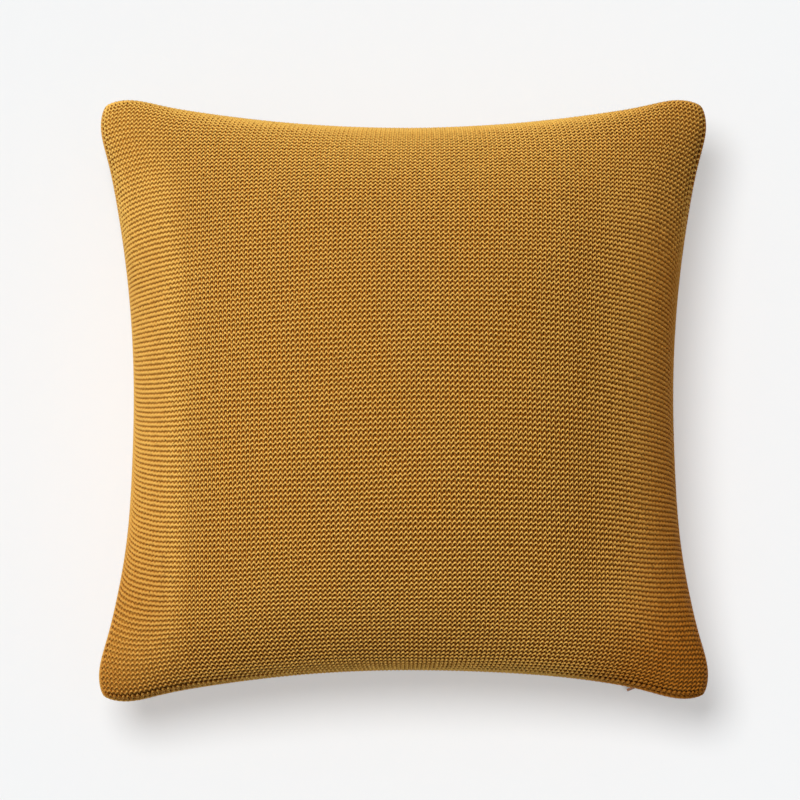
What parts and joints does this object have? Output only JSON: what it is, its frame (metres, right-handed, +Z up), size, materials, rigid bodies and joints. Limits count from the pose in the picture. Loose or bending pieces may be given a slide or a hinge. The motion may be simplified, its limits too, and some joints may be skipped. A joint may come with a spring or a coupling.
{
  "type": "knitted cushion cover",
  "caption": "Plump square cushion in a machine-knitted cover of fine wavy ridges, with drawn-in sides, rounded corners and a zip pull tab at one seam.",
  "frame": {"origin": "bottom centre of the bounding box, on the floor under the middle of the cushion", "axes": "+Z up, out of the front face; +X right and +Y away from the zipped edge, as in the picture"},
  "size_m": [0.4398, 0.4404, 0.162],
  "materials": {
    "knit": "matte knitted cotton yarn, mustard",
    "zip_pull": "satin moulded pull, amber brown"
  },
  "bodies": {
    "root": {"cover": "knit", "zip_pull": "zip_pull"}
  },
  "joints": []
}
